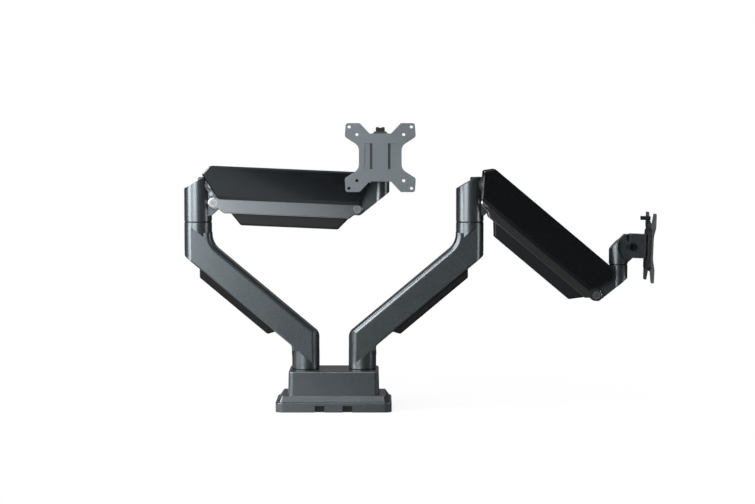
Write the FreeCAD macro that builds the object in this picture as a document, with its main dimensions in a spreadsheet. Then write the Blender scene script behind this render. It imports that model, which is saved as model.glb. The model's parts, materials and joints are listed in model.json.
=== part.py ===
import FreeCAD, Part
import math
import os
import Sketcher
from FreeCAD import Placement, Rotation, Vector

# A dual monitor arm for a desk: one cast base carries two identical sprung arms.
# Millimetres, Z up, origin on the desk under the middle of the base, front towards -Y.

DIMENSIONS = {
    # clearances and walls that several pieces share
    "run_gap": 0.05,            # radial gap of a shaft in its bore
    "face_gap": 0.1,            # gap between faces that slide on each other
    "side_gap": 0.5,            # gap between sheet metal links that pass each other
    # base
    "flange_width": 188.0,
    "flange_depth": 114.0,
    "flange_top": 16.5,
    "flange_corner": 12.0,
    "apron_top": 26.5,
    "block_width": 148.0,
    "block_depth": 92.0,
    "block_corner": 8.0,
    "base_top": 66.0,
    "base_wall": 8.0,
    "pad_thickness": 1.0,
    "plate_thickness": 3.0,
    "plate_width": 172.0,
    "plate_depth": 88.0,
    "post_spacing": 92.6,
    "plate_screw_inset": 10.0,
    "plate_screw_radius": 1.9,
    "plate_screw_head": 3.8,
    "slot_spacing": 45.0,
    "slot_width": 15.5,
    "slot_height": 10.5,
    "slot_depth": 10.0,
    "mount_spacing_x": 90.0,
    "mount_spacing_y": 46.0,
    "mount_hole_radius": 3.0,
    # swivels of the base and the elbow
    "post_radius": 22.5,
    "spindle_radius": 14.0,
    "spindle_length": 28.0,
    "bush_wall": 2.5,
    "washer_thickness": 1.6,
    "elbow_seat": 30.0,
    "spindle_flange": 6.0,
    "spindle_flange_rim": 8.0,
    "swivel_screw_z": 26.0,
    # lower arm
    "lower_reach": 175.35,
    "lower_height": 240.0,
    "beam_straights": 92.864,   # the two upright ends of the beam together
    "beam_wall": 5.0,
    "beam_crown": 58.8,
    "beam_sole": 39.0,
    "beam_half": 20.0,
    "beam_bend": 35.0,
    "beam_start": 31.0,
    "beam_end_drop": 17.0,
    "cover_drop": 11.0,
    "cover_start": 49.5,
    "cover_end": 172.0,
    "cover_half": 16.5,
    "shell_wall": 2.0,
    # knuckle on the elbow
    "ear_half": 13.9,
    "ear_margin": 9.0,
    "ear_top": 73.5,
    "knuckle_back": 54.7,
    "knuckle_slope": 29.0,
    "pivot_reach": 4.5,
    "lower_pivot_z": 31.5,
    "pivot_shift": -3.5,
    "pivot_rise": 30.0,
    "pivot_pin_radius": 4.0,
    "bolt_radius": 4.0,
    "bolt_head_radius": 6.5,
    "fork_half": 5.5,
    "anchor_back": 5.0,
    "anchor_z": 46.5,
    "anchor_pin_radius": 3.0,
    # sprung upper arm
    "link_length": 233.0,
    "link_wall": 2.6,
    "link_top": 22.0,
    "link_bottom": 9.0,
    "rail_wall": 3.0,
    "rail_top": 9.0,
    "rail_sole": 15.9,
    "boss_radius": 9.6,
    "boss_gap": 1.0,
    "shroud_half": 27.0,
    "shroud_wall": 2.2,
    "shroud_top": 30.0,
    "shroud_bottom": 26.6,
    "shroud_edge": 2.0,
    "band_height": 9.0,
    "band_lean": 3.5,
    "rail_cover_start": 28.7,
    "rail_cover_end": 219.7,
    "rail_cover_drop": 18.4,
    "rail_round": 2.0,
    "rail_cover_half": 17.0,
    "spring_radius": 9.5,
    "rod_radius": 4.0,
    "spring_front": 38.0,
    "spring_length": 108.0,
    "eye_radius": 8.0,
    "eye_play": 2.6,
    # front bracket and head
    "bracket_reach": 37.3,
    "bracket_radius": 15.0,
    "bracket_slope": 38.5,
    "bracket_top": 48.5,
    "wrist_spindle_radius": 6.0,
    "wrist_spindle_length": 18.0,
    "wrist_seat": 24.0,
    "wrist_bush_wall": 1.5,
    "head_radius": 15.5,
    "head_back": 25.8,
    "head_top": 50.0,
    "tilt_x": 20.6,
    "tilt_z": 30.0,
    "head_ear_half": 8.5,
    "clevis_half": 16.5,
    "clevis_low": 18.1,
    "clevis_high": 20.6,
    "clevis_web": 13.4,
    "clevis_front": 22.4,
    "tilt_bolt_radius": 4.0,
    "tilt_head_radius": 6.2,
    "tilt_head_height": 4.0,
    "turn_bolt_radius": 5.0,
    # screen plate
    "screen_face": 32.0,
    "screen_sheet": 2.5,
    "adapter_back": 25.0,
    "adapter_front": 29.2,
    "screen_half_width": 57.0,
    "screen_half_height": 56.0,
    "screen_hole_radius": 2.6,
    "screen_pitch_small": 75.0,
    "screen_pitch_large": 100.0,
    "slit_inside": 12.5,
    "slit_outside": 16.5,
    "slit_low": 19.0,
    "slit_high": 23.0,
    "channel_outside": 25.5,
    "channel_depth": 1.1,
}

# Sizes that follow from the others.
DERIVED = {
    "beam_slope": "atan((lower_height - beam_straights) / lower_reach)",
    "lower_pivot_x": "post_radius + pivot_reach",
    "ear_reach": "lower_pivot_x + ear_margin",
    "anchor_x": "lower_pivot_x - anchor_back",
    "plate_screw_x": "plate_width / 2 - plate_screw_inset",
    "plate_screw_y": "plate_depth / 2 - plate_screw_inset",
}

# How the two arms stand at rest, in degrees: the elbow and wrist turn about Z, lift and tilt
# are measured from the horizontal.
ARMS = {
    "left": {"side": -1, "base_yaw": 180.0, "elbow_yaw": 0.0, "lift": -2.5, "wrist_yaw": -90.0,
             "tilt": 11.0},
    "right": {"side": 1, "base_yaw": 0.0, "elbow_yaw": 0.0, "lift": -40.0, "wrist_yaw": 0.0,
              "tilt": -2.0},
}

doc = FreeCAD.newDocument("monitor_arm")
sheet = doc.addObject("Spreadsheet::Sheet", "dims")
ALIASES = {**DIMENSIONS, **{alias: f"={formula}" for alias, formula in DERIVED.items()}}
for row, (alias, value) in enumerate(ALIASES.items(), start=1):
    sheet.set(f"A{row}", alias)
    sheet.set(f"B{row}", str(value))
    sheet.setAlias(f"B{row}", alias)
doc.recompute()

EXPORTED = []


def size(formula):
    """The value of a formula written with the sheet's aliases."""
    return float(sheet.evalExpression(str(formula)))


def bound(formula):
    """The same formula with each alias spelled as a reference to the sheet."""
    words = []
    word = ""
    for letter in str(formula) + " ":
        if letter.isalnum() or letter in "_.":
            word += letter
            continue
        words.append(f"dims.{word}" if word in ALIASES else word)
        words.append(letter)
        word = ""
    return "".join(words).strip()


def bind(target, name, formula):
    """Tie a property or a constraint to the sheet, and set it to that value now."""
    target.setExpression(name, bound(formula))


def keep(piece, place):
    """Put a finished sub-part in its place and list it for export."""
    piece.Placement = place
    EXPORTED.append(piece)
    return piece


# ---------------------------------------------------------------- sketches and features

def new_body(label):
    body = doc.addObject("PartDesign::Body", label)
    body.Label = label
    return body


def new_sketch(body, role, offset="0"):
    """A sketch on one of the body's own planes, moved along that plane's normal."""
    sketch = body.newObject("Sketcher::SketchObject", body.Label + "_sketch")
    plane = next(item for item in body.Origin.OriginFeatures if item.Role == role)
    sketch.AttachmentSupport = (plane, [""])
    sketch.MapMode = "FlatFace"
    bind(sketch, "AttachmentOffset.Base.z", offset)
    return sketch


def fix_point(sketch, geometry, which, x, y):
    """Hold one point of a sketch at a place given by two formulas."""
    for kind, formula in (("DistanceX", x), ("DistanceY", y)):
        constraint = Sketcher.Constraint(kind, -1, 1, geometry, which, size(formula))
        index = sketch.addConstraint(constraint)
        bind(sketch, f"Constraints[{index}]", formula)


def add_outline(sketch, corners):
    """A closed outline through corners (x, y) or (x, y, radius), each coordinate a formula."""
    points = [Vector(size(corner[0]), size(corner[1]), 0) for corner in corners]
    radii = [size(corner[2]) if len(corner) > 2 else 0.0 for corner in corners]
    count = len(corners)
    arcs = {}
    ends = []
    for index, radius in enumerate(radii):
        here = points[index]
        if not radius:
            ends.append((here, here))
            continue
        back = (points[index - 1] - here).normalize()
        ahead = (points[(index + 1) % count] - here).normalize()
        half = back.getAngle(ahead) / 2
        reach = radius / math.tan(half)
        centre = here + (back + ahead).normalize() * (radius / math.sin(half))
        first = here + back * reach
        last = here + ahead * reach
        ends.append((first, last))
        middle = centre + (here - centre).normalize() * radius
        arcs[index] = Part.Arc(first, middle, last)
    first_line = sketch.GeometryCount
    for index in range(count):
        sketch.addGeometry(Part.LineSegment(ends[index][1], ends[(index + 1) % count][0]), False)
    for index, corner in enumerate(corners):
        before = first_line + (index - 1) % count
        after = first_line + index
        if index not in arcs:
            sketch.addConstraint(Sketcher.Constraint("Coincident", before, 2, after, 1))
            fix_point(sketch, after, 1, corner[0], corner[1])
            continue
        arc = sketch.addGeometry(arcs[index], False)
        start_at = sketch.getPoint(arc, 1)
        start, end = (1, 2) if start_at.distanceToPoint(ends[index][0]) < 0.001 else (2, 1)
        tip = sketch.addGeometry(Part.Point(points[index]), True)
        fix_point(sketch, tip, 1, corner[0], corner[1])
        sketch.addConstraint([
            Sketcher.Constraint("PointOnObject", tip, 1, before),
            Sketcher.Constraint("PointOnObject", tip, 1, after),
            Sketcher.Constraint("Tangent", before, 2, arc, start),
            Sketcher.Constraint("Tangent", after, 1, arc, end),
        ])
        turn = sketch.addConstraint(Sketcher.Constraint("Radius", arc, radii[index]))
        bind(sketch, f"Constraints[{turn}]", corner[2])


def add_circle(sketch, x, y, radius):
    circle = Part.Circle(Vector(size(x), size(y), 0), Vector(0, 0, 1), size(radius))
    index = sketch.addGeometry(circle, False)
    fix_point(sketch, index, 3, x, y)
    ring = sketch.addConstraint(Sketcher.Constraint("Radius", index, size(radius)))
    bind(sketch, f"Constraints[{ring}]", radius)


def add_stadium(sketch, left, right, half):
    """Two parallel lines joined by half circles, whose outermost points are left and right."""
    x0 = size(f"{left} + {half}")
    x1 = size(f"{right} - ({half})")
    y = size(half)
    low, high = Vector(x0, -y, 0), Vector(x1, y, 0)
    first = sketch.GeometryCount
    sketch.addGeometry([
        Part.LineSegment(low, Vector(x1, -y, 0)),
        Part.Arc(Vector(x1, -y, 0), Vector(x1 + y, 0, 0), high),
        Part.LineSegment(high, Vector(x0, y, 0)),
        Part.Arc(Vector(x0, y, 0), Vector(x0 - y, 0, 0), low),
    ], False)
    right_end, left_end = first + 1, first + 3
    fix_point(sketch, right_end, 3, f"{right} - ({half})", "0")
    fix_point(sketch, left_end, 3, f"{left} + {half}", "0")
    turn = sketch.addConstraint(Sketcher.Constraint("Radius", right_end, y))
    bind(sketch, f"Constraints[{turn}]", half)
    sketch.addConstraint([
        Sketcher.Constraint("Tangent", first, 2, right_end, 1),
        Sketcher.Constraint("Tangent", right_end, 2, first + 2, 1),
        Sketcher.Constraint("Tangent", first + 2, 2, left_end, 1),
        Sketcher.Constraint("Tangent", left_end, 2, first, 1),
    ])


def add_box(sketch, x0, x1, y0, y1):
    add_outline(sketch, [(x0, y0), (x1, y0), (x1, y1), (x0, y1)])


def feature(body, kind, sketch, length, both=True, flip=False):
    """A pad or a pocket; both means the length is shared by the two sides of the sketch."""
    item = body.newObject(f"PartDesign::{kind}", f"{body.Label}_{kind.lower()}")
    item.Profile = sketch
    item.Midplane = both
    item.Reversed = flip
    bind(item, "Length", length)
    return item


def pad(body, role, outlines, length, offset="0", both=False, flip=False):
    return shape_with(body, "Pad", role, outlines, length, offset, both, flip)


def pocket(body, role, outlines, length, offset="0", both=False, flip=False):
    """A pocket that has to remove material: one that points into the air stops the build."""
    doc.recompute()
    before = body.Shape.Volume
    item = shape_with(body, "Pocket", role, outlines, length, offset, both, flip)
    doc.recompute()
    if body.Shape.Volume > before - 0.01:
        raise RuntimeError(f"{body.Label}: a pocket cuts nothing")
    return item


def shape_with(body, kind, role, outlines, length, offset, both, flip):
    sketch = new_sketch(body, role, offset)
    for outline in outlines:
        if outline[0] == "circle":
            add_circle(sketch, *outline[1:])
        elif outline[0] == "box":
            add_box(sketch, *outline[1:])
        elif outline[0] == "stadium":
            add_stadium(sketch, *outline[1:])
        else:
            add_outline(sketch, outline)
    return feature(body, kind, sketch, length, both, flip)


def round_edges(body, radius, chosen, kind="Fillet"):
    """Fillet or chamfer the edges that the test picks from the body as it stands."""
    doc.recompute()
    edges = [f"Edge{number}" for number, edge in enumerate(body.Shape.Edges, start=1)
             if chosen(edge)]
    if not edges:
        raise RuntimeError(f"{body.Label}: no edge to round")
    tip = body.Tip
    item = body.newObject(f"PartDesign::{kind}", f"{body.Label}_{kind.lower()}")
    item.Base = (tip, edges)
    bind(item, "Radius" if kind == "Fillet" else "Size", radius)
    doc.recompute()
    if "Invalid" in item.State:
        raise RuntimeError(f"{body.Label}: {len(edges)} edges can't be rounded by {radius}")
    return item


def near(value, target, slack=0.01):
    return abs(value - target) < slack


def level_at(height):
    """Picks edges that lie flat at one height."""
    return lambda edge: near(edge.BoundBox.ZMin, height) and near(edge.BoundBox.ZMax, height)


# ---------------------------------------------------------------- round pieces and groups

def cylinder(name, radius, length, place):
    item = doc.addObject("Part::Cylinder", name)
    bind(item, "Radius", radius)
    bind(item, "Height", length)
    item.Placement = place
    return item


def fused(name, pieces):
    item = doc.addObject("Part::MultiFuse", name)
    item.Shapes = pieces
    return item


def cut(name, base, tool):
    item = doc.addObject("Part::Cut", name)
    item.Base = base
    item.Tool = tool
    return item


def group(name, pieces):
    """Several separate solids that share one node."""
    item = doc.addObject("Part::Compound", name)
    item.Label = name
    item.Links = pieces
    return item


def at(x=0, y=0, z=0, turn=None):
    """A placement from three formulas and an optional rotation."""
    return Placement(Vector(size(x), size(y), size(z)), turn or Rotation())


ALONG_X = Rotation(Vector(0, 1, 0), 90)
ALONG_BACK_X = Rotation(Vector(0, 1, 0), -90)
ALONG_Y = Rotation(Vector(1, 0, 0), -90)
ALONG_FRONT = Rotation(Vector(1, 0, 0), 90)
DOWN = Rotation(Vector(1, 0, 0), 180)


def socket_screw(name, head_radius, head_length, shank_radius, shank_length, place):
    """A screw whose head starts at its own origin and rises along +Z, with a hex socket."""
    head = cylinder(name + "_head", head_radius, head_length, at())
    shank = cylinder(name + "_shank", shank_radius, shank_length, at(z=f"-({shank_length})"))
    hexagon = doc.addObject("Part::Prism", name + "_socket")
    hexagon.Polygon = 6
    bind(hexagon, "Circumradius", f"({head_radius}) * 0.52")
    bind(hexagon, "Height", f"({head_length}) * 0.7")
    hexagon.Placement = at(z=f"({head_length}) * 0.4")
    screw = cut(name, fused(name + "_blank", [head, shank]), hexagon)
    screw.Placement = place
    return screw


def ring(name, outer, inner, length, place):
    """A bush or a washer, with its lower face at its own origin."""
    blank = cylinder(name + "_outside", outer, length, at())
    hole = cylinder(name + "_inside", inner, f"({length}) + 2", at(z="-1"))
    item = cut(name, blank, hole)
    item.Placement = place
    return item


# ---------------------------------------------------------------- base

def base_casting():
    body = new_body("base_casting")
    foot = "pad_thickness"
    half_w = "flange_width / 2"
    half_d = "flange_depth / 2"
    corner = "flange_corner"
    pad(body, "XY_Plane", [rounded_box(half_w, half_d, corner)], f"flange_top - {foot}", foot)
    apron = pad(body, "XY_Plane", [rounded_box(f"{half_w} - 3", f"{half_d} - 3", f"{corner} - 2")],
                "apron_top - flange_top", "flange_top")
    bind(apron, "TaperAngle", "-atan((flange_depth / 2 - 4 - block_depth / 2)"
                              " / (apron_top - flange_top))")
    block = pad(body, "XY_Plane",
                [rounded_box("block_width / 2", "block_depth / 2", "block_corner")],
                "base_top - apron_top + 2", "apron_top - 2")
    bind(block, "TaperAngle", "-1.5")
    round_edges(body, "2.5", level_at(size("base_top")))
    round_edges(body, "1.5", lambda edge: level_at(size("flange_top"))(edge)
                and edge.BoundBox.XLength + edge.BoundBox.YLength > 5
                and on_rim(edge, size(half_w), size(half_d)))
    pocket(body, "XY_Plane", [rounded_box("post_spacing / 2 + spindle_radius + spindle_flange_rim + 1",
                                          "block_depth / 2 - base_wall", "6")],
           f"base_top - base_wall - {foot}", foot, flip=True)
    pocket(body, "XY_Plane", [rounded_box("plate_width / 2 + 0.5", "plate_depth / 2 + 0.5", "6")],
           "plate_thickness", foot, flip=True)
    slots = [("box", f"{side} * slot_spacing / 2 - slot_width / 2",
              f"{side} * slot_spacing / 2 + slot_width / 2", foot, f"{foot} + slot_height")
             for side in (-1, 1)]
    pocket(body, "XZ_Plane", slots, "slot_depth + 1", f"{half_d} - slot_depth", flip=True)
    holes = [("circle", f"{side} * post_spacing / 2", "0", "spindle_radius") for side in (-1, 1)]
    pocket(body, "XY_Plane", holes, "base_wall + 2", "base_top - base_wall - 1", flip=True)
    screws = [("circle", f"{x} * plate_screw_x", f"{y} * plate_screw_y", "plate_screw_radius")
              for x in (-1, 1) for y in (-1, 1)]
    pocket(body, "XY_Plane", screws, "plate_thickness + 9", foot, flip=True)
    return keep(body, Placement())


def rounded_box(half_x, half_y, radius, middle_x="0", middle_y="0"):
    return [(f"{middle_x} + {sx} * ({half_x})", f"{middle_y} + {sy} * ({half_y})", radius)
            for sx, sy in ((-1, -1), (1, -1), (1, 1), (-1, 1))]


def on_rim(edge, half_w, half_d):
    """True for edges that lie on the outside of the flange."""
    box = edge.BoundBox
    return (near(abs(box.XMin), half_w, 13) and near(abs(box.XMax), half_w, 13)
            and near(box.XLength, 0, 13)) or near(abs(box.Center.y), half_d, 1)


def base_fittings():
    plate = new_body("base_bottom_plate")
    outline = rounded_box("plate_width / 2", "plate_depth / 2", "6")
    holes = [("circle", f"{x} * mount_spacing_x / 2", f"{y} * mount_spacing_y / 2",
              "mount_hole_radius") for x in (-1, 1) for y in (-1, 1)]
    screws = [("circle", f"{x} * plate_screw_x", f"{y} * plate_screw_y",
               "plate_screw_radius + 0.3") for x in (-1, 1) for y in (-1, 1)]
    pad(plate, "XY_Plane", [outline] + holes + screws, "plate_thickness - 0.3", "pad_thickness")
    keep(plate, Placement())

    pads = []
    spots = [("0", "0", "60", "24")]
    spots += [(f"{x} * (plate_width / 2 - 28)", f"{y} * (plate_depth / 2 - 20)", "22", "18")
              for x in (-1, 1) for y in (-1, 1)]
    for index, (x, y, width, depth) in enumerate(spots):
        strip = doc.addObject("Part::Box", f"desk_pad_{index}")
        bind(strip, "Length", width)
        bind(strip, "Width", depth)
        bind(strip, "Height", "pad_thickness")
        strip.Placement = at(f"{x} - {width} / 2", f"{y} - {depth} / 2")
        pads.append(strip)
    keep(group("desk_pads", pads), Placement())

    screws = []
    for index, (x, y) in enumerate(((-1, -1), (1, -1), (1, 1), (-1, 1))):
        place = at(f"{x} * plate_screw_x", f"{y} * plate_screw_y", "pad_thickness", DOWN)
        screws.append(socket_screw(f"plate_screw_{index}", "plate_screw_head", "0.8",
                                   "plate_screw_radius", "10", place))
    keep(group("base_plate_screws", screws), Placement())

    blocks = []
    for side in (-1, 1):
        block = doc.addObject("Part::Box", f"slot_block_{side + 1}")
        bind(block, "Length", "slot_width")
        bind(block, "Width", "slot_depth - 4")
        bind(block, "Height", "slot_height")
        block.Placement = at(f"{side} * slot_spacing / 2 - slot_width / 2",
                             "4 - flange_depth / 2", "pad_thickness")
        blocks.append(block)
    keep(group("clamp_slot_plugs", blocks), Placement())

    spindles = []
    for side in (-1, 1):
        name = f"base_spindle_{side + 1}"
        seat = at(z="-base_wall - spindle_flange")
        flange = cylinder(name + "_flange", "spindle_radius + spindle_flange_rim",
                          "spindle_flange", seat)
        shaft = cylinder(name + "_shaft", "spindle_radius",
                         "base_wall + spindle_length + spindle_flange", seat)
        spindle = fused(name, [flange, shaft])
        spindle.Placement = at(f"{side} * post_spacing / 2", 0, "base_top")
        spindles.append(spindle)
    keep(group("base_spindles", spindles), Placement())


# ---------------------------------------------------------------- lower arm

SOLE = "beam_sole + (({0}) - post_radius) * tan(beam_slope)"
CROWN = "beam_crown + (({0}) + post_radius) * tan(beam_slope)"


def lower_arm(name, place):
    body = new_body(name + "_lower_arm")
    outer = "lower_reach + post_radius"
    inner = "lower_reach - post_radius"
    top = "lower_height - beam_end_drop"
    pad(body, "XZ_Plane", [[
        ("-post_radius", "beam_start"),
        ("post_radius", "beam_start"),
        ("post_radius", "beam_sole", "6"),
        (outer, SOLE.format(outer), "6"),
        (outer, top),
        (inner, top),
        (inner, CROWN.format(inner), "beam_bend * 0.9"),
        ("-post_radius", CROWN.format("-post_radius"), "beam_bend * 0.45"),
    ]], "2 * beam_half", both=True)
    doc.recompute()
    # in plan both ends are as round as the posts
    pocket(body, "XY_Plane", [
        ("box", "-99", "lower_reach + 99", "-99", "99"),
        ("stadium", "0.2 - post_radius", "lower_reach + post_radius - 0.2", "post_radius - 0.2"),
    ], "lower_height + 10", flip=True)
    slope = math.radians(size("beam_slope"))
    half = size("beam_half")

    def along_flank(edge):
        box = edge.BoundBox
        return (near(abs(box.YMin), half) and near(abs(box.YMax), half) and box.XLength > 20
                and near(box.ZLength / box.XLength, math.tan(slope), 0.02))

    def along_crown(edge):
        return along_flank(edge) and above_middle(edge)

    def above_middle(edge):
        middle = edge.BoundBox.Center
        line = size("beam_sole") + (middle.x - size("post_radius")) * math.tan(slope)
        return middle.z > line + 20

    round_edges(body, "8", along_crown)
    round_edges(body, "3", lambda edge: along_flank(edge) and not above_middle(edge))
    washer = "washer_thickness + face_gap"
    pad(body, "XY_Plane", [("circle", "0", "0", "post_radius")], f"beam_start + 1 - {washer}",
        washer)
    # above the beam the elbow is a full round, which the flat flanks cut along the crown line
    foot = f"({SOLE.format(outer)} + 8)"
    pad(body, "XY_Plane", [("circle", "lower_reach", "0", "post_radius")],
        f"lower_height - {foot}", foot)
    past = "post_radius + 1"
    trim_flanks(body, [
        (f"{inner} - 1", "0"),
        (f"{inner} - 1", CROWN.format(f"{inner} - 1")),
        (f"{outer} + 1", CROWN.format(f"{outer} + 1")),
        (f"{outer} + 1", "0"),
    ])
    trim_flanks(body, [
        (f"-({past})", SOLE.format(f"-({past})")),
        (past, SOLE.format(f"({past})")),
        (past, "beam_crown"),
        (f"-({past})", "beam_crown"),
    ])
    pocket(body, "XY_Plane", [("circle", "0", "0", "spindle_radius + run_gap + bush_wall")],
           f"spindle_length + 6 - {washer}", washer, flip=True)
    pocket(body, "XY_Plane", [("circle", "lower_reach", "0", "spindle_radius")],
           "elbow_seat + 2", "lower_height - elbow_seat - 2", flip=True)
    pocket(body, "YZ_Plane", [("circle", "0", "swivel_screw_z", "bolt_radius")], "post_radius",
           "spindle_radius", flip=True)
    # the beam is a channel, closed from below by the cable cover
    start = "cover_start + beam_wall"
    end = "lower_reach - post_radius - beam_wall"
    roof = "beam_wall / cos(beam_slope)"
    pocket(body, "XZ_Plane", [[
        (start, SOLE.format(start) + " - 9"),
        (start, CROWN.format(start) + f" - {roof}", "6"),
        (end, CROWN.format(end) + f" - {roof}", "6"),
        (end, SOLE.format(end) + " - 9"),
    ]], "2 * (beam_half - beam_wall)", both=True)
    round_edges(body, "0.8", lambda edge: level_at(size("lower_height"))(edge)
                and edge.BoundBox.XLength > 40)
    return keep(body, place)


def trim_flanks(body, outline):
    """Cuts the two cheeks that stand out past the beam's flat flanks."""
    for offset, flip in (("beam_half", True), ("-beam_half", False)):
        pocket(body, "XZ_Plane", [outline], "post_radius + 1 - beam_half", offset, flip=flip)


def lower_cover(name, place):
    """The clip-on channel under the beam that hides the cables."""
    body = new_body(name + "_lower_cable_cover")
    drop = "cover_drop / cos(beam_slope)"
    wall = "shell_wall / cos(beam_slope)"
    start = "cover_start"
    end = "cover_end"
    heel = "cover_start + 12.5"
    under = SOLE + " - ({1})"
    pad(body, "XZ_Plane", [[
        (start, SOLE.format(start)),
        (heel, under.format(heel, drop), "5"),
        (end, under.format(end, drop), "4"),
        (end, SOLE.format(end)),
    ]], "2 * cover_half", both=True)
    round_edges(body, "2.5", long_flank_edge(size("cover_half"), size("cover_drop")))
    pocket(body, "XZ_Plane", [[
        (f"{heel} - 2", SOLE.format(f"{heel} - 2")),
        (f"{heel} + 2", under.format(f"{heel} + 2", f"{drop} - {wall}"), "2"),
        (f"{end} - shell_wall", under.format(f"{end} - shell_wall", f"{drop} - {wall}"), "2"),
        (f"{end} - shell_wall", SOLE.format(f"{end} - shell_wall")),
    ]], "2 * (cover_half - shell_wall)", both=True)
    return keep(body, place)


def long_flank_edge(half, shortest):
    """Picks the lower long edges of a channel that lie on its flanks."""
    def chosen(edge):
        box = edge.BoundBox
        if not (near(abs(box.YMin), half) and near(abs(box.YMax), half)):
            return False
        return box.YLength < 0.01 and box.DiagonalLength > 60 and edge.Curve.TypeId == \
            "Part::GeomLine" and not on_sole(edge)
    return chosen


def on_sole(edge):
    """True for an edge on the beam's own underside."""
    point = edge.Vertexes[0].Point
    line = size("beam_sole") + (point.x - size("post_radius")) * math.tan(
        math.radians(size("beam_slope")))
    return near(point.z, line, 0.05)


def friction_screw(name, place):
    screw = socket_screw(name + "_swivel_screw_blank", "bolt_radius", "2", "bolt_radius", "3.6",
                         at("post_radius - 1.6", 0, "swivel_screw_z", ALONG_X))
    item = group(name + "_swivel_screw", [screw])
    return keep(item, place)


def flanged_bush(name, place, spindle, length, wall, flange):
    """The sleeve that turns on a spindle, with the flange that the joint rides on."""
    bore = f"{spindle} + run_gap"
    outside = f"{spindle} + run_gap + {wall}"
    sleeve = ring(name + "_sleeve", outside, bore, f"{length} - face_gap", at(z="face_gap"))
    rim = ring(name + "_rim", flange, bore, "washer_thickness", at(z="face_gap"))
    return keep(group(name, [fused(name + "_part", [sleeve, rim])]), place)


# ---------------------------------------------------------------- knuckle

UPPER_X = "(lower_pivot_x + pivot_shift)"
UPPER_Z = "(lower_pivot_z + pivot_rise)"


def knuckle(name, place):
    body = new_body(name + "_knuckle")
    washer = "washer_thickness + face_gap"
    pad(body, "XY_Plane", [("circle", "0", "0", "post_radius")], f"ear_top - {washer}", washer)
    # the sloping top, high towards the arm
    rise = "(post_radius + 30) * tan(knuckle_slope)"
    pocket(body, "XZ_Plane", [[
        ("-post_radius - 1", "knuckle_back - tan(knuckle_slope)"),
        ("-post_radius - 1", "ear_top + 30"),
        ("30", "ear_top + 30"),
        ("30", f"knuckle_back + {rise}"),
    ]], "4 * post_radius", both=True)
    # room for the links that swing round the upper pivot
    pocket(body, "XZ_Plane", [("circle", UPPER_X, UPPER_Z, "boss_radius + 2.6")],
           "post_radius", "ear_half", flip=True)
    pocket(body, "XZ_Plane", [("circle", UPPER_X, UPPER_Z, "boss_radius + 2.6")],
           "post_radius", "-ear_half")
    pad(body, "XZ_Plane", [[
        ("1", "11"),
        ("post_radius", "11"),
        ("lower_pivot_x + 6", "20.4", "3"),
        ("ear_reach", "26", "4"),
        ("ear_reach - 1", "ear_top - 9", "6"),
        ("ear_reach - 6", "ear_top", "3"),
        ("1", "ear_top", "2"),
    ]], "2 * ear_half", both=True)
    # the fork for the gas spring's eye
    pocket(body, "XZ_Plane", [[
        ("anchor_x - 9.5", "anchor_z - 9.5"),
        ("ear_reach + 4", "anchor_z - 22"),
        ("ear_reach + 4", "anchor_z + 20"),
        ("anchor_x + 4", "anchor_z + 10"),
        ("anchor_x - 9.5", "anchor_z + 10"),
    ]], "2 * fork_half", both=True)
    pocket(body, "XZ_Plane", [
        ("circle", "lower_pivot_x", "lower_pivot_z", "bolt_radius + run_gap"),
        ("circle", UPPER_X, UPPER_Z, "pivot_pin_radius + run_gap"),
        ("circle", "anchor_x", "anchor_z", "anchor_pin_radius"),
    ], "4 * ear_half", both=True)
    pocket(body, "XY_Plane", [("circle", "0", "0", "spindle_radius + run_gap + bush_wall")],
           f"spindle_length + 6 - {washer}", washer, flip=True)
    return keep(body, place)


# ---------------------------------------------------------------- sprung upper arm

def upper_link(name, place):
    """The pressed channel, open below, from the upper pivot of the knuckle to the bracket."""
    body = new_body(name + "_upper_link")
    half = "(ear_half + side_gap + link_wall)"
    inside = "(ear_half + side_gap)"
    reach = "link_length"
    pad(body, "XZ_Plane", [[
        ("-9", "-link_bottom", "6"),
        (f"{reach} + 9", "-link_bottom", "6"),
        (f"{reach} + 9", "9", "6"),
        (f"{reach} - 14", "link_top", "8"),
        ("20", "link_top", "8"),
        ("-9", "5", "5"),
    ]], f"2 * {half}", both=True)
    pocket(body, "XZ_Plane", [[
        ("-30", "-link_bottom - 5"),
        (f"{reach} + 30", "-link_bottom - 5"),
        (f"{reach} + 30", "link_top + 5"),
        (f"{reach} - 22", "link_top + 5"),
        (f"{reach} - 22", "link_top - link_wall"),
        ("18", "link_top - link_wall"),
        ("18", "link_top + 5"),
        ("-30", "link_top + 5"),
    ]], f"2 * {inside}", both=True)
    pocket(body, "XZ_Plane", [
        ("circle", "0", "0", "pivot_pin_radius"),
        ("circle", reach, "0", "pivot_pin_radius"),
        ("circle", f"{reach} - spring_front", "2", "anchor_pin_radius"),
    ], f"2 * {half} + 2", both=True)
    return keep(body, place)


def pivot_pin(label, radius, place, half="(ear_half + side_gap + link_wall)"):
    """A riveted pin with a low head at each end, through a channel's two walls."""
    shank = cylinder(label + "_shank", radius, f"2 * {half}", at(0, f"-{half}", 0, ALONG_Y))
    near_head = cylinder(label + "_front_head", f"{radius} + 2", "1.6",
                         at(0, f"-{half} - 1.6", 0, ALONG_Y))
    far_head = cylinder(label + "_back_head", f"{radius} + 2", "1.6", at(0, half, 0, ALONG_Y))
    pin = fused(label, [shank, near_head, far_head])
    pin.Placement = place
    return pin


def upper_pins(name, place):
    rear = pivot_pin(name + "_rear_pin", "pivot_pin_radius", at())
    front = pivot_pin(name + "_front_pin", "pivot_pin_radius", at("link_length"))
    spring = pivot_pin(name + "_spring_pin", "anchor_pin_radius",
                       at("link_length - spring_front", 0, 2))
    item = group(name + "_upper_link_pins", [rear, front, spring])
    return keep(item, place)


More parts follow.
